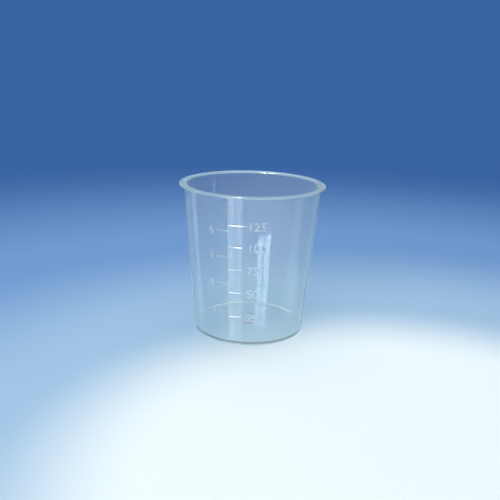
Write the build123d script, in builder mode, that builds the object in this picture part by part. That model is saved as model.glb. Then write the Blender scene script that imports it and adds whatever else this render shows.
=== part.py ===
from build123d import *
from math import atan, cos, pi, radians, sin
import os

# Graduated specimen cup, moulded in one piece: a thin tapered wall, a floor raised on a foot
# ring, and a rim flange that a press-on lid grips. The marks of its scale stand in relief on the
# outside of the wall, each at the height where the cup really holds that volume.
# Sizes are in millimetres. The origin is the middle of the foot, +Z is the cup's axis, and the
# scale faces -Y.

# Body
height = 69.0
top_diameter = 62.0  # outside of the wall, where it meets the flange's underside
base_diameter = 51.2  # outside of the wall, at the table
wall = 0.9  # measured level, from the outside to the inside
floor_thickness = 0.9
floor_corner = 0.8  # inside radius between the floor and the wall

# Foot
ring_width = 1.6  # of the ring under the wall, with its chamfered outer edge
ring_height = 0.4  # of the recess inside the ring
foot_chamfer = 0.45  # outer edge of the ring

# Gate, the stub that is left where the plastic flowed in
gate_diameter = 2.4
gate_tip_diameter = 1.6
gate_clearance = 0.15  # between the stub and the table

# Flange
flange_overhang = 2.2  # from the wall's outside to the flange's edge
flange_thickness = 1.15
bevel_width = 1.2  # sloping shoulder that leads a lid over the edge
bevel_drop = 0.3
edge_chamfer = 0.15  # both corners of the flange's edge
root_chamfer = 0.3  # between the wall and the flange's underside
mouth_radius = 0.8  # inner edge of the mouth

# Scale
rule_foot = 5.2  # lower end of the upright rule, above the table
rule_gap = 4.0  # from the rule's upper end to the flange
line_width = 0.55  # of every raised line, where it leaves the wall
line_crest = 0.3  # of every raised line, along its top
line_relief = 0.25
tick_angle = 11.0  # how far a tick runs round the wall, in degrees
full_tick_angle = 16.0  # the tick at the cup's rated volume runs further

# Volumes
millilitre = 1000.0  # cubic millimetres
fluid_ounce = 29573.5
millilitre_step = 25
millilitre_marks = 5
ounce_step = 1
ounce_marks = 4

# Heights and radii that follow from the sizes above
flange_underside = height - flange_thickness
floor_underside = ring_height
floor_top = floor_underside + floor_thickness
base_radius = base_diameter / 2
rim_radius = top_diameter / 2 + flange_overhang
ring_inside = base_radius - ring_width
growth = (top_diameter - base_diameter) / 2 / flange_underside  # of the radius, for each mm up
rule_top = flange_underside - rule_gap
line_seat = wall / 3  # how deep a raised line is rooted in the wall


def outer_radius(z):
    """Outside radius of the wall at height z."""
    return base_radius + growth * z


def inner_radius(z):
    """Inside radius of the wall at height z."""
    return outer_radius(z) - wall


def fill_height(volume):
    """Height of the surface when the cup holds this volume.

    The inside is part of a cone. The volume between the floor's radius a and the surface's
    radius b is pi / 3 * (b ** 3 - a ** 3) / growth, and this solves it for b.
    """
    floor_radius = inner_radius(floor_top)
    surface_radius = (floor_radius**3 + 3 * growth * volume / pi) ** (1 / 3)
    return floor_top + (surface_radius - floor_radius) / growth


def plane_on_wall(z, turn, lengthways=False):
    """Plane across a raised line at height z, turn degrees round from the rule.

    Its x axis stands square to the wall. Its y axis runs up the wall, or round it if the line
    itself runs up the wall.
    """
    heading = radians(turn - 90)
    outward = Vector(cos(heading), sin(heading), 0)
    around = Vector(-sin(heading), cos(heading), 0)
    point = outward * outer_radius(z) + Vector(0, 0, z)
    square = outward - Vector(0, 0, growth)
    up_the_wall = Vector(0, 0, 1) + outward * growth
    return Plane(point, x_dir=square, z_dir=up_the_wall if lengthways else -around)


def line_section():
    """Outline across a raised line, rooted in the wall and narrower along its top."""
    Polygon(
        (-line_seat, -line_width / 2),
        (0, -line_width / 2),
        (line_relief, -line_crest / 2),
        (line_relief, line_crest / 2),
        (0, line_width / 2),
        (-line_seat, line_width / 2),
        align=None,
    )


# Ticks of the scale: the height of each, the angle where it starts, and how far it runs round
ticks = []
for count in range(1, millilitre_marks + 1):
    reach = full_tick_angle if count == millilitre_marks else tick_angle
    ticks.append((fill_height(count * millilitre_step * millilitre), 0, reach))
for count in range(1, ounce_marks + 1):
    ticks.append((fill_height(count * ounce_step * fluid_ounce), -tick_angle, tick_angle))


with BuildPart() as cup:
    # Wall, floor and flange, as one section turned about the axis
    with BuildSketch(Plane.XZ) as section:
        with BuildLine():
            Polyline(
                (0, floor_underside),
                (ring_inside, floor_underside),
                (ring_inside, 0),
                (base_radius, 0),
                (outer_radius(flange_underside), flange_underside),
                (rim_radius, flange_underside),
                (rim_radius, height - bevel_drop),
                (rim_radius - bevel_width, height),
                (inner_radius(height), height),
                (inner_radius(floor_top), floor_top),
                (0, floor_top),
                close=True,
            )
        make_face()

        def corner(r, z):
            """The section's corner nearest to this radius and height."""
            return section.vertices().sort_by_distance((r, z))[0]

        chamfer(corner(base_radius, 0), foot_chamfer)
        chamfer(corner(outer_radius(flange_underside), flange_underside), root_chamfer)
        chamfer(corner(rim_radius, flange_underside), edge_chamfer)
        chamfer(corner(rim_radius, height - bevel_drop), edge_chamfer)
        fillet(corner(inner_radius(height), height), mouth_radius)
        fillet(corner(inner_radius(floor_top), floor_top), floor_corner)
    revolve(axis=Axis.Z)

    # Gate stub, inside the foot ring and clear of the table
    with BuildSketch(Plane.XZ):
        with BuildLine():
            Polyline(
                (0, gate_clearance),
                (gate_tip_diameter / 2, gate_clearance),
                (gate_diameter / 2, floor_underside),
                (0, floor_underside),
                close=True,
            )
        make_face()
    revolve(axis=Axis.Z)

    # Upright rule, raised along the wall's own slope
    with BuildSketch(plane_on_wall(rule_foot, 0, lengthways=True)):
        line_section()
    extrude(amount=(rule_top - rule_foot) / cos(atan(growth)))

    # Ticks on both sides of the rule, as far up as it reaches
    for tick_height, start, reach in ticks:
        if tick_height < rule_top:
            with BuildSketch(plane_on_wall(tick_height, start)):
                line_section()
            revolve(axis=Axis.Z, revolution_arc=reach)

cup.part.label = "cup"

os.makedirs("parts", exist_ok=True)
export_step(cup.part, "parts/cup.step")
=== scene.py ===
# %% [markdown]
# A specimen cup is moulded in one shot from natural polypropylene, a plastic that is clear but
# a little milky. It has a thin tapered wall, a floor raised on a foot ring, a stiff flange that
# a lid grips, and a scale in relief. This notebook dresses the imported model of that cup: it
# builds one finer mesh in its place, gives it the plastic's look, and sets it on a pale studio
# sweep. Everything is in metres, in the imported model's own frame: the origin is the middle of
# the foot, +Z is the cup's axis, and the scale faces -Y.

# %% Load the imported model
from math import cos, pi, radians, sin, tan

import bmesh
import bpy
from mathutils import Matrix, Quaternion, Vector


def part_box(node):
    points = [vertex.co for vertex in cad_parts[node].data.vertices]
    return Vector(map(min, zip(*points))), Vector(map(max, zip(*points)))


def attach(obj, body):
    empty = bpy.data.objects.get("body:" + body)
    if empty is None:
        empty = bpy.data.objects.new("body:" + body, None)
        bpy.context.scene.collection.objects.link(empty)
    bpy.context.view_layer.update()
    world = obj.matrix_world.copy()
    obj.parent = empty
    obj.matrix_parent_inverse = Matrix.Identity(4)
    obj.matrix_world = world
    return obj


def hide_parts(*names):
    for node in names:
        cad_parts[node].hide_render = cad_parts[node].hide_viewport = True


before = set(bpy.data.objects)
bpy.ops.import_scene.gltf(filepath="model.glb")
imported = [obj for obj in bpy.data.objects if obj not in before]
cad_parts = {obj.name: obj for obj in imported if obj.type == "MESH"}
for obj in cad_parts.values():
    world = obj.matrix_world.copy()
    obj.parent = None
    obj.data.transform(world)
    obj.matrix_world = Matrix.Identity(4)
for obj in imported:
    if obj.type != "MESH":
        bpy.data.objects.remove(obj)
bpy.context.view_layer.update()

mm = 0.001
far_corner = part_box("cup")[1]
height = far_corner.z
rim_radius = max(far_corner.x, far_corner.y)
print(f"the cup is {height / mm:.1f} mm tall and {2 * rim_radius / mm:.1f} mm across its flange")

# %% [markdown]
# The camera has the photo's viewing angle. It looks at a point a little over half way up the
# cup, from 309 mm away and 16.5 degrees above the horizon, and the rule of the scale is turned
# 18.7 degrees to the left. The horizon leans a little, so the camera is rolled by as much.

# %% Camera
camera_heading = radians(18.7)  # round the cup from the side that its scale faces
camera_elevation = radians(16.53)
camera_roll = radians(1.76)
camera_distance = 309.4 * mm
aim_height = 36.94 * mm
aim_aside = -0.24 * mm
focal_length = 47.6  # in the camera's own millimetres, on a sensor 36 wide

aim_level = Vector((0, 0, aim_height))
backwards = Vector((0, -cos(camera_elevation), sin(camera_elevation)))
aim = aim_level + Vector((aim_aside, 0, 0))
stand = aim_level + camera_distance * backwards
around_cup = Quaternion((0, 0, 1), camera_heading)
look = (around_cup @ (aim - stand)).to_track_quat("-Z", "Y")

camera_data = bpy.data.cameras.new("camera")
camera_data.lens = focal_length
camera_data.clip_start = 1 * mm
camera_data.clip_end = 20.0
camera = bpy.data.objects.new("camera", camera_data)
camera.location = around_cup @ stand
camera.rotation_mode = "QUATERNION"
camera.rotation_quaternion = look @ Quaternion((0, 0, 1), camera_roll)
bpy.context.scene.collection.objects.link(camera)
bpy.context.scene.camera = camera
print("camera at", [round(x / mm, 1) for x in camera.location])

# %% [markdown]
# The cup is round, so its body is drawn as half a section and spun. The sizes below are the
# mould's: the wall is the same thickness from foot to flange, and the radius grows steadily on
# the way up, so that cups stack and come off the mould.

# %% Sizes of the body
base_radius = 25.6 * mm
top_radius = 31.0 * mm  # outside of the wall, under the flange
wall = 0.9 * mm
floor_thickness = 0.9 * mm
ring_width = 1.6 * mm
ring_height = 0.4 * mm
gate_clearance = 0.15 * mm
gate_tip_radius = 0.8 * mm
gate_radius = 1.2 * mm
flange_thickness = 1.15 * mm
bevel_width = 1.2 * mm
bevel_drop = 0.3 * mm

flange_underside = height - flange_thickness
floor_top = ring_height + floor_thickness
ring_inside = base_radius - ring_width
growth = (top_radius - base_radius) / flange_underside  # of the radius, for each metre up


def outer_radius(z):
    """Outside radius of the wall at height z."""
    return base_radius + growth * z


def inner_radius(z):
    """Inside radius of the wall at height z."""
    return outer_radius(z) - wall


print(f"the wall leans out by {growth:.3f} for each unit up")

# %% [markdown]
# An outline starts as a plane merged into one point. Each further point is extruded from the
# last, the way a profile is clicked by hand. A rounded corner is a bevel of one vertex: the
# outline is still a wire, so the bevel costs nothing and comes out as a true arc.

# %% Helpers for a wire outline
point_reach = 0.01 * mm  # a vertex this near to a corner is the corner


def deselect():
    """Nothing selected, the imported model's own nodes included."""
    bpy.ops.object.select_all(action="DESELECT")


def draw_outline(name, points):
    """A wire through these (radius, height) points, in the plane y = 0, left in edit mode."""
    deselect()
    bpy.ops.mesh.primitive_plane_add(size=mm)
    outline = bpy.context.object
    outline.name = outline.data.name = name
    bpy.ops.object.mode_set(mode="EDIT")
    bpy.ops.mesh.select_all(action="SELECT")
    bpy.ops.mesh.merge(type="CENTER")
    r, z = points[0]
    bpy.ops.transform.translate(value=(r, 0, z))
    for next_r, next_z in points[1:]:
        step = (next_r - r, 0, next_z - z)
        bpy.ops.mesh.extrude_region_move(TRANSFORM_OT_translate={"value": step})
        r, z = next_r, next_z
    return outline


def select_where(piece, wanted, kind="verts"):
    """Selects the vertices or edges that the test says yes to, and nothing else."""
    bpy.ops.mesh.select_all(action="DESELECT")
    mesh = bmesh.from_edit_mesh(piece.data)
    chosen = [part for part in getattr(mesh, kind) if wanted(part)]
    for part in chosen:
        part.select_set(True)
    bmesh.update_edit_mesh(piece.data)
    return len(chosen)


def round_corner(outline, corner, cut, segments):
    """Bevels the outline's vertex at this (radius, height), cutting this much off each side."""
    r, z = corner
    select_where(
        outline, lambda v: abs(v.co.x - r) < point_reach and abs(v.co.z - z) < point_reach
    )
    bpy.ops.mesh.bevel(offset=cut, segments=segments, affect="VERTICES", profile=0.5)


print("an outline can now be drawn and its corners rounded")

# %% [markdown]
# The section runs from the gate, under the floor and over the foot ring, up the outside, round
# the flange, over the mouth and down the inside to the middle of the floor. Every corner of a
# moulded part is a little round. The mouth, the foot and the corner inside the floor are the
# roundest of them.

# %% Draw the section
gate_tip = (gate_tip_radius, gate_clearance)
recess_corner = (ring_inside, ring_height)
ring_edge = (ring_inside, 0)
foot_edge = (base_radius, 0)
flange_root = (top_radius, flange_underside)
flange_low = (rim_radius, flange_underside)
flange_high = (rim_radius, height - bevel_drop)
bevel_top = (rim_radius - bevel_width, height)
mouth_edge = (inner_radius(height), height)
floor_corner = (inner_radius(floor_top), floor_top)
roundings = [  # each corner with the length cut off its sides and the segments of its arc
    (gate_tip, 0.12 * mm, 2),
    (recess_corner, 0.12 * mm, 3),
    (ring_edge, 0.12 * mm, 3),
    (foot_edge, 0.45 * mm, 6),
    (flange_root, 0.3 * mm, 4),
    (flange_low, 0.18 * mm, 4),
    (flange_high, 0.18 * mm, 4),
    (bevel_top, 0.3 * mm, 3),
    (mouth_edge, 0.72 * mm, 8),
    (floor_corner, 0.72 * mm, 6),
]

section = draw_outline("cup_body", [
    (0, gate_clearance), gate_tip, (gate_radius, ring_height), recess_corner, ring_edge,
    foot_edge, flange_root, flange_low, flange_high, bevel_top, mouth_edge, floor_corner,
    (0, floor_top),
])
for corner, cut, segments in roundings:
    round_corner(section, corner, cut, segments)
print(len(roundings), "corners rounded")

# %% [markdown]
# Smooth shading bends the light on a face towards its neighbours. On a face that runs from the
# foot to the flange that bend would show all the way up, so the long runs of the section, in
# the wall and in the floor, are divided first and only a short face lies beside each corner.

# %% Divide the long runs
long_run = 20 * mm
parts_of_a_run = 12

runs = select_where(section, lambda edge: edge.calc_length() > long_run, "edges")
bpy.ops.mesh.subdivide(number_cuts=parts_of_a_run - 1)
print(runs, "long runs, each in", parts_of_a_run, "parts")

# %% [markdown]
# Spin turns the outline once round the axis. Its first and last copies meet, and the points on
# the axis fall together, so doubles are merged. A spin can turn the shape inside out, so the
# normals are recalculated last.

# %% Spin the section
spin_steps = 240
merge_distance = 0.001 * mm


def close_skin(distance):
    """Merges doubles, turns the faces outwards and leaves edit mode."""
    bpy.ops.mesh.select_all(action="SELECT")
    bpy.ops.mesh.remove_doubles(threshold=distance)
    bpy.ops.mesh.normals_make_consistent(inside=False)
    bpy.ops.object.mode_set(mode="OBJECT")


bpy.ops.mesh.select_all(action="SELECT")
bpy.ops.mesh.spin(steps=spin_steps, angle=2 * pi, center=(0, 0, 0), axis=(0, 0, 1))
close_skin(merge_distance)
body = section
print(len(body.data.vertices), "vertices in the body")

# %% [markdown]
# The scale tells how much the cup holds, so a tick stands where the cup is filled to its
# volume. The inside is part of a cone, and its volume up to any height has a formula, which is
# solved here for the height. Places on the wall are given as a height and a turn from the rule.

# %% Sizes of the scale
line_width = 0.55 * mm
line_relief = 0.25 * mm
rule_foot = 5.2 * mm
rule_gap = 4.0 * mm  # from the rule's upper end to the flange
rule_top = flange_underside - rule_gap
tick_angle = radians(11.0)
full_tick_angle = radians(16.0)  # the tick at the rated volume
millilitre = mm**3 * 1000
fluid_ounce = 29.5735 * millilitre
millilitre_step = 25
millilitre_ticks = 5
rated_volume = millilitre_step * millilitre_ticks
ounce_ticks = 4


def fill_height(volume):
    """Height of the surface when the cup holds this volume: the inside is part of a cone."""
    floor_radius = inner_radius(floor_top)
    surface_radius = (floor_radius**3 + 3 * growth * volume / pi) ** (1 / 3)
    return floor_top + (surface_radius - floor_radius) / growth


def on_wall(z, turn):
    """Frame on the wall: X runs round the cup, Y up the wall, Z out. The rule is at turn 0."""
    outward = Vector((sin(turn), -cos(turn), 0))
    around = Vector((cos(turn), sin(turn), 0))
    up = (Vector((0, 0, 1)) + growth * outward).normalized()
    facing = around.cross(up)
    place = outer_radius(z) * outward + Vector((0, 0, z))
    return Matrix.Translation(place) @ Matrix((around, up, facing)).transposed().to_4x4()


volumes = [millilitre_step * count for count in range(1, millilitre_ticks + 1)]
marks = [(fill_height(volume * millilitre), volume) for volume in volumes]
ounces = [(fill_height(count * fluid_ounce), count) for count in range(1, ounce_ticks + 1)]
print("ticks at", [round(z / mm, 2) for z, _ in marks + ounces], "mm")

# %% [markdown]
# Each line of the scale is a soft ridge: half of a flattened oval that stands out of the wall,
# with the other half rooted in it. A circle, squeezed and turned square to the wall, is that
# oval. For a tick it is spun a few degrees round the cup's axis, so the tick follows the wall.
# The rule runs up the wall's slope, so there the oval is extruded.

# %% Raise the rule and the ticks
oval_points = 16
tick_steps = 8


def line_section(name, frame_on_wall):
    """The oval across a line, filled, in edit mode with all of it selected."""
    deselect()
    bpy.ops.mesh.primitive_circle_add(vertices=oval_points, radius=1, fill_type="NGON")
    oval = bpy.context.object
    oval.name = oval.data.name = name
    oval.matrix_world = frame_on_wall @ Matrix.Diagonal((line_width / 2, line_relief, 1, 1))
    bpy.ops.object.transform_apply(location=True, rotation=True, scale=True)
    bpy.ops.object.mode_set(mode="EDIT")
    bpy.ops.mesh.select_all(action="SELECT")
    return oval


def raise_tick(name, z, start, reach):
    """A tick that starts at one angle and runs round the wall by another."""
    across = Matrix.Rotation(pi / 2, 4, "Y") @ Matrix.Rotation(pi / 2, 4, "Z")
    tick = line_section(name, on_wall(z, start) @ across)
    bpy.ops.mesh.spin(steps=tick_steps, angle=-reach, center=(0, 0, 0), axis=(0, 0, 1))
    close_skin(merge_distance)
    return tick


def raise_rule():
    """The upright line, extruded along the wall's own slope."""
    lying = Matrix.Rotation(-pi / 2, 4, "X")
    rule = line_section("rule", on_wall(rule_foot, 0) @ lying)
    rise = (rule_top - rule_foot) * Vector((0, -growth, 1))
    bpy.ops.mesh.extrude_region_move(TRANSFORM_OT_translate={"value": rise})
    close_skin(merge_distance)
    return rule


lines = [raise_rule()]
for z, volume in marks:
    reach = full_tick_angle if volume == rated_volume else tick_angle
    lines.append(raise_tick("millilitre_tick", z, 0, reach))
for z, _ in ounces:
    lines.append(raise_tick("ounce_tick", z, -tick_angle, tick_angle))
print(len(lines), "raised lines")

# %% [markdown]
# The numerals are plain figures from Blender's own font. The wall is round, so each figure is a
# text object of its own, laid flat on the wall at its own angle: over a figure's width the wall
# bends away by about 0.1 mm, and the figure is rooted twice as deep. A text becomes a mesh
# before its place is applied to it.

# %% Raise the numerals
figure_height = 3.7 * mm
figure_widening = 1.1
figure_advance = 2.7 * mm
figure_relief = 0.22 * mm
figure_edge = 0.1 * mm  # rounds the tops of the figures
font_height = 0.73  # of a figure, for a text of size 1
millilitre_figures_at = radians(15.9)
ounce_figures_at = radians(-18.7)


def raise_figure(figure, z, turn):
    """One figure, centred on the tick's height, with its left side at this angle."""
    deselect()
    bpy.ops.object.text_add()
    text = bpy.context.object
    text.name = f"figure_{figure}"
    text.data.body = figure
    text.data.size = figure_height / font_height
    text.data.extrude = figure_relief - figure_edge
    text.data.bevel_depth = figure_edge
    text.data.bevel_resolution = 1
    text.data.resolution_u = 4
    drop = Matrix.Translation((0, -figure_height / 2, 0))
    widen = Matrix.Diagonal((figure_widening, 1, 1, 1))
    text.matrix_world = on_wall(z, turn) @ drop @ widen
    bpy.ops.object.convert(target="MESH")
    solid = bpy.context.object
    bpy.ops.object.transform_apply(location=True, rotation=True, scale=True)
    bpy.ops.object.mode_set(mode="EDIT")
    close_skin(merge_distance)
    return solid


def raise_number(number, z, start):
    """The figures of a number, side by side round the wall."""
    turn_per_figure = figure_advance / outer_radius(z)
    row = []
    for place, figure in enumerate(str(number)):
        row.append(raise_figure(figure, z, start + place * turn_per_figure))
    return row


figures = []
for z, volume in marks:
    figures += raise_number(volume, z, millilitre_figures_at)
for z, volume in ounces:
    figures += raise_number(volume, z, ounce_figures_at)
print(len(figures), "raised figures")

# %% [markdown]
# In the mould the scale and the wall are one cavity, so the plastic has no seam between them.
# Light shows such a seam in clear plastic, and so the marks aren't left standing in the wall: a
# boolean union takes them in, one by one, and the result is one closed skin.

# %% One skin
def unite(target, added):
    """Boolean union of a mesh into the target."""
    deselect()
    target.select_set(True)
    bpy.context.view_layer.objects.active = target
    union = target.modifiers.new("union", "BOOLEAN")
    union.operation = "UNION"
    union.solver = "MANIFOLD"
    union.object = added
    bpy.ops.object.modifier_apply(modifier=union.name)
    bpy.data.objects.remove(added)


for mark in lines + figures:
    unite(body, mark)
body.name = body.data.name = "clear_cup"
print(len(body.data.vertices), "vertices in the cup with its scale")

# %% [markdown]
# The union leaves tiny edges where a mark's foot meets the wall, so doubles are merged once
# more. Edges sharper than 40 degrees stay crisp and the rest is smooth. Weighted normals then
# let the large faces decide, because each small face beside a mark or a corner would otherwise
# tilt the light of its neighbours, and a mirror-like plastic shows that as a false highlight.

# %% Clean and shade the skin
skin_merge_distance = 0.002 * mm
crisp_from = radians(40)

bpy.ops.object.mode_set(mode="EDIT")
close_skin(skin_merge_distance)
bpy.ops.object.shade_smooth_by_angle(angle=crisp_from)
even = body.modifiers.new("even", "WEIGHTED_NORMAL")
even.keep_sharp = True
bpy.ops.object.modifier_apply(modifier=even.name)

check = bmesh.new()
check.from_mesh(body.data)
open_edges = sum(not edge.is_manifold for edge in check.edges)
moulded_volume = check.calc_volume()
triangles = sum(len(face.verts) - 2 for face in check.faces)
check.free()
print(open_edges, "open edges,", triangles, "triangles")
print(round(moulded_volume / mm**3), "cubic millimetres of plastic")

# %% [markdown]
# Moulded plastic isn't quite even: its haze drifts in soft clouds, drawn out along the flow
# from foot to rim, and its surface has a faint ripple. Every plastic of the cup has both, so
# they are one node group, which reads Object coordinates and gives out two values.

# %% What varies over the moulding
flow_stretch = (1, 1, 0.3)  # less change along the cup's axis than round it


def moulding_marks():
    """Node group: cloudiness and ripple of moulded plastic, both as values near 0 to 1."""
    group = bpy.data.node_groups.new("moulding_marks", "ShaderNodeTree")
    for name in ("Cloud Size", "Ripple Size"):
        group.interface.new_socket(name, in_out="INPUT", socket_type="NodeSocketFloat")
    for name in ("Cloud", "Ripple"):
        group.interface.new_socket(name, in_out="OUTPUT", socket_type="NodeSocketFloat")
    nodes, links = group.nodes, group.links
    given = nodes.new("NodeGroupInput")
    result = nodes.new("NodeGroupOutput")
    place = nodes.new("ShaderNodeTexCoord")
    flow = nodes.new("ShaderNodeMapping")
    flow.inputs["Scale"].default_value = flow_stretch
    links.new(place.outputs["Object"], flow.inputs["Vector"])
    for name, detail in (("Cloud", 3), ("Ripple", 1)):
        per_metre = nodes.new("ShaderNodeMath")
        per_metre.operation = "DIVIDE"
        per_metre.inputs[0].default_value = 1
        noise = nodes.new("ShaderNodeTexNoise")
        noise.inputs["Detail"].default_value = detail
        links.new(given.outputs[f"{name} Size"], per_metre.inputs[1])
        links.new(per_metre.outputs["Value"], noise.inputs["Scale"])
        links.new(flow.outputs["Vector"], noise.inputs["Vector"])
        links.new(noise.outputs["Fac"], result.inputs[name])
    return group


marks_group = moulding_marks()
print("node group", marks_group.name)

# %% [markdown]
# Natural polypropylene lets most light through and scatters the rest, which gives it a milky
# veil. The Principled shader's transmission is kept high, and what remains is a pale diffuse
# share: each surface adds a little veil, and some sheen whitens it at grazing angles. Shadow
# rays pass almost freely, because real plastic this thin casts only a faint shadow.

# %% A milky clear plastic
cloud_size = 9 * mm
ripple_size = 3 * mm
sheen_tint = (0.76, 0.95, 1, 1)
shadow_tint = (0.93, 0.96, 0.97, 1)
cloud_range = (0.3, 0.7)  # where the noise has nearly all its values


def plastic(name, transmission, clear_tone, milky_tone, smooth, dull, ripple_depth):
    """A milky clear plastic, whose tone and gloss drift between two values each."""
    material = bpy.data.materials.new(name)
    material.use_nodes = True
    nodes, links = material.node_tree.nodes, material.node_tree.links
    shader = nodes["Principled BSDF"]
    shader.inputs["IOR"].default_value = 1.49
    shader.inputs["Transmission Weight"].default_value = transmission
    shader.inputs["Sheen Weight"].default_value = 0.6
    shader.inputs["Sheen Roughness"].default_value = 0.3
    shader.inputs["Sheen Tint"].default_value = sheen_tint

    variation = nodes.new("ShaderNodeGroup")
    variation.node_tree = marks_group
    variation.inputs["Cloud Size"].default_value = cloud_size
    variation.inputs["Ripple Size"].default_value = ripple_size

    tone = nodes.new("ShaderNodeMix")
    tone.data_type = "RGBA"
    tone.inputs["A"].default_value = (*clear_tone, 1)
    tone.inputs["B"].default_value = (*milky_tone, 1)
    links.new(variation.outputs["Cloud"], tone.inputs["Factor"])
    links.new(tone.outputs["Result"], shader.inputs["Base Color"])

    gloss = nodes.new("ShaderNodeMapRange")
    gloss.inputs["From Min"].default_value, gloss.inputs["From Max"].default_value = cloud_range
    gloss.inputs["To Min"].default_value = smooth
    gloss.inputs["To Max"].default_value = dull
    links.new(variation.outputs["Cloud"], gloss.inputs["Value"])
    links.new(gloss.outputs["Result"], shader.inputs["Roughness"])

    bump = nodes.new("ShaderNodeBump")
    bump.inputs["Strength"].default_value = 1.0
    bump.inputs["Distance"].default_value = ripple_depth
    links.new(variation.outputs["Ripple"], bump.inputs["Height"])
    links.new(bump.outputs["Normal"], shader.inputs["Normal"])

    passing = nodes.new("ShaderNodeBsdfTransparent")
    passing.inputs["Color"].default_value = shadow_tint
    rays = nodes.new("ShaderNodeLightPath")
    mix = nodes.new("ShaderNodeMixShader")
    links.new(rays.outputs["Is Shadow Ray"], mix.inputs["Fac"])
    links.new(shader.outputs["BSDF"], mix.inputs[1])
    links.new(passing.outputs["BSDF"], mix.inputs[2])
    links.new(mix.outputs["Shader"], nodes["Material Output"].inputs["Surface"])
    return material


print("the plastic's sheen is tinted", sheen_tint[:3])

# %% [markdown]
# Three plastics differ in how much of the milky share they have. The thin wall and floor are
# the clearest. The flange is thick, holds more of the plastic and looks whiter. The raised
# scale, the foot and the corner between floor and wall bend light so strongly that they show
# as pale lines, and they get the most of that share.

# %% Three plastics
mould_ripple = 0.005 * mm

thin = plastic(
    "clear_plastic", transmission=0.905, clear_tone=(0.86, 0.96, 1.0),
    milky_tone=(0.91, 0.99, 1.0), smooth=0.01, dull=0.03, ripple_depth=mould_ripple,
)
thick = plastic(
    "milky_plastic", transmission=0.72, clear_tone=(0.64, 0.90, 1.0),
    milky_tone=(0.85, 0.97, 1.0), smooth=0.06, dull=0.12, ripple_depth=mould_ripple,
)
raised = plastic(
    "raised_plastic", transmission=0.66, clear_tone=(0.88, 0.97, 0.99),
    milky_tone=(0.94, 0.99, 1.0), smooth=0.03, dull=0.05, ripple_depth=0,
)
plastics = (thin, thick, raised)
print([material.name for material in plastics])

# %% [markdown]
# Each face is given its plastic by its place and slope, so the dressing follows the sizes of
# the body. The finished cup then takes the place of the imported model's one node.

# %% Dress the cup
flange_margin = 0.1 * mm  # the flange's plastic begins this far under its underside
mouth_margin = 0.05 * mm  # and this far outside the wall's inside
relief_margin = 0.03 * mm  # what stands this far out of the wall is the scale
scale_margin = 1 * mm  # over the rule's upper end
foot_low, foot_high = 0.01 * mm, 0.45 * mm
foot_margin = 0.8 * mm  # outside the ring's inner edge
corner_rise = 0.7 * mm
corner_flattest, corner_steepest = 0.97, 0.1  # how far the corner's faces look upwards

body.data.materials.clear()
for material in plastics:
    body.data.materials.append(material)


def plastic_of(face):
    """Which plastic a face gets, as its place in the row of three."""
    middle = face.center
    r = (middle.x**2 + middle.y**2) ** 0.5
    if middle.z > flange_underside - flange_margin and r > inner_radius(height) + mouth_margin:
        return plastics.index(thick)
    stands_out = r > outer_radius(middle.z) + relief_margin
    in_scale = stands_out and middle.z < rule_top + scale_margin
    in_foot = foot_low < middle.z < foot_high and r > ring_inside + foot_margin
    slants = corner_steepest < face.normal.z < corner_flattest
    in_corner = slants and floor_top < middle.z < floor_top + corner_rise
    return plastics.index(raised if in_scale or in_foot or in_corner else thin)


faces_of = [0] * len(plastics)
for face in body.data.polygons:
    face.material_index = plastic_of(face)
    faces_of[face.material_index] += 1
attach(body, "root")
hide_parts("cup")
print("faces of each plastic:", faces_of)

# %% [markdown]
# The studio is one pale sweep: a floor whose tone is a painted pool of light, palest at a spot
# in front of the cup, that turns blue with distance from it and ends in the plain blue that the
# world repeats, so that the floor's far edge can't be seen. It keeps the cup's shadow. A flat
# disc with its tones in the material is enough, because the camera never sees a sweep's curve.

# %% Floor
floor_radius = 4.5
floor_points = 128
floor_gap = 0.05 * mm  # keeps the floor's face and the foot ring's apart

deselect()
bpy.ops.mesh.primitive_circle_add(vertices=floor_points, radius=floor_radius, fill_type="NGON")
bpy.ops.transform.translate(value=(0, 0, -floor_gap))
bpy.ops.object.transform_apply(location=True)
floor = bpy.context.object
floor.name = "floor"
print("floor", floor_radius, "m from its middle to its edge")

# %% Tones of the floor, a painted pool of light
# Middle of the painted pool of light on the floor.
painted_light_pool_middle = (0.095, -0.094, 0)  # in front of the cup and a little to its right
backdrop_blue = (0.042, 0.125, 0.36, 1)
# Painted pool of light: the floor's tone by distance from its middle, fading into the backdrop
# blue.
sweep = [  # distance from the bright spot and tone there
    (0.09, (0.78, 0.88, 0.93, 1)),
    (0.15, (0.32, 0.50, 0.70, 1)),
    (0.27, (0.155, 0.30, 0.58, 1)),
    (0.65, backdrop_blue),
]

floor_look = bpy.data.materials.new("pale_floor")
floor_look.use_nodes = True
nodes, links = floor_look.node_tree.nodes, floor_look.node_tree.links
lit = nodes["Principled BSDF"]
place = nodes.new("ShaderNodeTexCoord")
distance = nodes.new("ShaderNodeVectorMath")
distance.operation = "DISTANCE"
distance.inputs[1].default_value = painted_light_pool_middle
tones = nodes.new("ShaderNodeValToRGB")
tones.color_ramp.interpolation = "EASE"
while len(tones.color_ramp.elements) < len(sweep):
    tones.color_ramp.elements.new(0.5)
for element, (at, tone) in zip(tones.color_ramp.elements, sweep):
    element.position = at
    element.color = tone
links.new(place.outputs["Object"], distance.inputs[0])
links.new(distance.outputs["Value"], tones.inputs["Fac"])
links.new(tones.outputs["Color"], lit.inputs["Base Color"])
print(len(sweep), "tones from the bright spot to the backdrop")

# %% [markdown]
# Clear plastic shows little but what it mirrors, and the walls of a cup that widens upwards
# mirror the floor. So the floor is glossy to the cup and passes the window's light on, but
# plain to the camera, which would otherwise see specks and stripes of that window on it.

# %% Gloss of the floor
floor_specular = 0.5  # the shader's plain level; a camera ray takes all of it away

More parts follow.
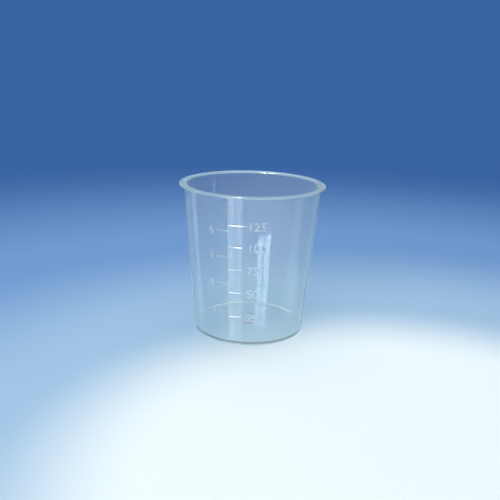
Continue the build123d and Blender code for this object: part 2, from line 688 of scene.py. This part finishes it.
lit.inputs["Roughness"].default_value = 0.04
rays = nodes.new("ShaderNodeLightPath")
gloss = nodes.new("ShaderNodeMath")
gloss.operation = "MULTIPLY_ADD"
gloss.inputs[1].default_value = -floor_specular
gloss.inputs[2].default_value = floor_specular
links.new(rays.outputs["Is Camera Ray"], gloss.inputs[0])
links.new(gloss.outputs["Value"], lit.inputs["Specular IOR Level"])
print("floor gloss", floor_specular, "for all but the camera")

# %% [markdown]
# The lit floor and its painted pool of light fade into a blue that no lamp changes, the
# backdrop's own. From below the floor can be looked through, so that the cup's underside
# can be seen.

# %% Edges of the floor
# Distances from the middle of the painted pool of light.
fade_from, fade_to = 0.3, 0.7  # metres from the bright spot

far = nodes.new("ShaderNodeEmission")
far.inputs["Color"].default_value = backdrop_blue
share = nodes.new("ShaderNodeMapRange")
share.inputs["From Min"].default_value = fade_from
share.inputs["From Max"].default_value = fade_to
blend = nodes.new("ShaderNodeMixShader")
links.new(distance.outputs["Value"], share.inputs["Value"])
links.new(share.outputs["Result"], blend.inputs["Fac"])
links.new(lit.outputs["BSDF"], blend.inputs[1])
links.new(far.outputs["Emission"], blend.inputs[2])

underside = nodes.new("ShaderNodeNewGeometry")
open_below = nodes.new("ShaderNodeBsdfTransparent")
from_below = nodes.new("ShaderNodeMixShader")
links.new(underside.outputs["Backfacing"], from_below.inputs["Fac"])
links.new(blend.outputs["Shader"], from_below.inputs[1])
links.new(open_below.outputs["BSDF"], from_below.inputs[2])
links.new(from_below.outputs["Shader"], nodes["Material Output"].inputs["Surface"])
floor.data.materials.append(floor_look)
print("the floor fades from", fade_from, "to", fade_to, "m")

# %% [markdown]
# The world gives an even white fill light, and is the blue backdrop wherever it is seen, mirrored
# or looked at through the plastic. Light that has met a diffuse surface already has been let
# through the clear plastic once, as a shadow ray, so a further look at the backdrop or at a
# bright pane would count it twice. It is left out with a test on the ray's diffuse depth.

# %% World
fill_light = 0.25


def not_yet_lit(tree):
    """A value of 1 for rays that haven't met a diffuse surface, and 0 for the rest."""
    rays = tree.nodes.new("ShaderNodeLightPath")
    test = tree.nodes.new("ShaderNodeMath")
    test.operation = "LESS_THAN"
    test.inputs[1].default_value = 0.5  # a depth of 0 is under it, and of 1 over it
    tree.links.new(rays.outputs["Diffuse Depth"], test.inputs[0])
    return test.outputs["Value"]


world = bpy.data.worlds.new("studio")
bpy.context.scene.world = world
world.use_nodes = True
nodes, links = world.node_tree.nodes, world.node_tree.links
light = nodes["Background"]
light.inputs["Color"].default_value = (1, 1, 1, 1)
light.inputs["Strength"].default_value = fill_light
seen = nodes.new("ShaderNodeBackground")
seen.inputs["Color"].default_value = backdrop_blue
links.new(not_yet_lit(world.node_tree), seen.inputs["Strength"])

rays = nodes.new("ShaderNodeLightPath")
looking = rays.outputs["Is Camera Ray"]
for kind in ("Is Glossy Ray", "Is Transmission Ray"):
    either = nodes.new("ShaderNodeMath")
    either.operation = "MAXIMUM"
    links.new(looking, either.inputs[0])
    links.new(rays.outputs[kind], either.inputs[1])
    looking = either.outputs["Value"]
choose = nodes.new("ShaderNodeMixShader")
links.new(looking, choose.inputs["Fac"])
links.new(light.outputs["Background"], choose.inputs[1])
links.new(seen.outputs["Background"], choose.inputs[2])
links.new(choose.outputs["Shader"], nodes["World Output"].inputs["Surface"])
print("world light", fill_light)

# %% [markdown]
# Clear plastic is drawn by what it mirrors, here a window of tall bright panes, low in front of
# the cup. The cup mirrors it by way of the glossy floor: as a pair of stripes on the bulging
# front and another on the hollow rear wall. The panes are only mirrored and light nothing. A
# plain key lamp and an overhead lamp do that, and a soft lamp at each side draws the edges.

# %% A lamp that faces the cup
lamp_distance = 1.3


def panel(name, heading, elevation, wide, tall, radiance, shines=True, mirrored=True):
    """A lamp that faces the cup. Its place, width and height are all angles in degrees."""
    data = bpy.data.lights.new(name, "AREA")
    data.shape = "RECTANGLE"
    data.size = 2 * lamp_distance * tan(radians(wide / 2))
    data.size_y = 2 * lamp_distance * tan(radians(tall / 2))
    data.energy = radiance * pi * data.size * data.size_y
    turn, rise = radians(heading), radians(elevation)
    outward = Vector((sin(turn) * cos(rise), -cos(turn) * cos(rise), sin(rise)))
    lamp = bpy.data.objects.new(name, data)
    lamp.location = lamp_distance * outward
    lamp.rotation_mode = "QUATERNION"
    lamp.rotation_quaternion = (-outward).to_track_quat("-Z", "Y")
    lamp.visible_camera = False
    lamp.visible_diffuse = shines
    lamp.visible_glossy = mirrored
    lamp.visible_transmission = mirrored and not shines
    if not shines:
        data.use_nodes = True
        strength = data.node_tree.nodes["Emission"].inputs["Strength"]
        data.node_tree.links.new(not_yet_lit(data.node_tree), strength)
    bpy.context.scene.collection.objects.link(lamp)


print("lamps stand", lamp_distance, "m from the cup")

# %% Lamps
for side, heading, wide in (("left", -16.5, 11), ("right", -2, 10)):
    panel(f"low_{side}", heading, elevation=12.5, wide=wide, tall=15, radiance=60, shines=False)
    panel(f"high_{side}", heading, elevation=26.8, wide=wide, tall=13, radiance=110, shines=False)
panel("key", heading=-10, elevation=30, wide=30, tall=25, radiance=7, mirrored=False)
panel("soft_left", heading=-97, elevation=20, wide=12, tall=16, radiance=3.5)
panel("soft_right", heading=105, elevation=20, wide=20, tall=16, radiance=2.5)
panel("overhead", heading=200, elevation=78, wide=45, tall=45, radiance=3.2, mirrored=False)
bpy.context.scene.view_settings.view_transform = "Standard"
print(len(bpy.data.lights), "lamps")
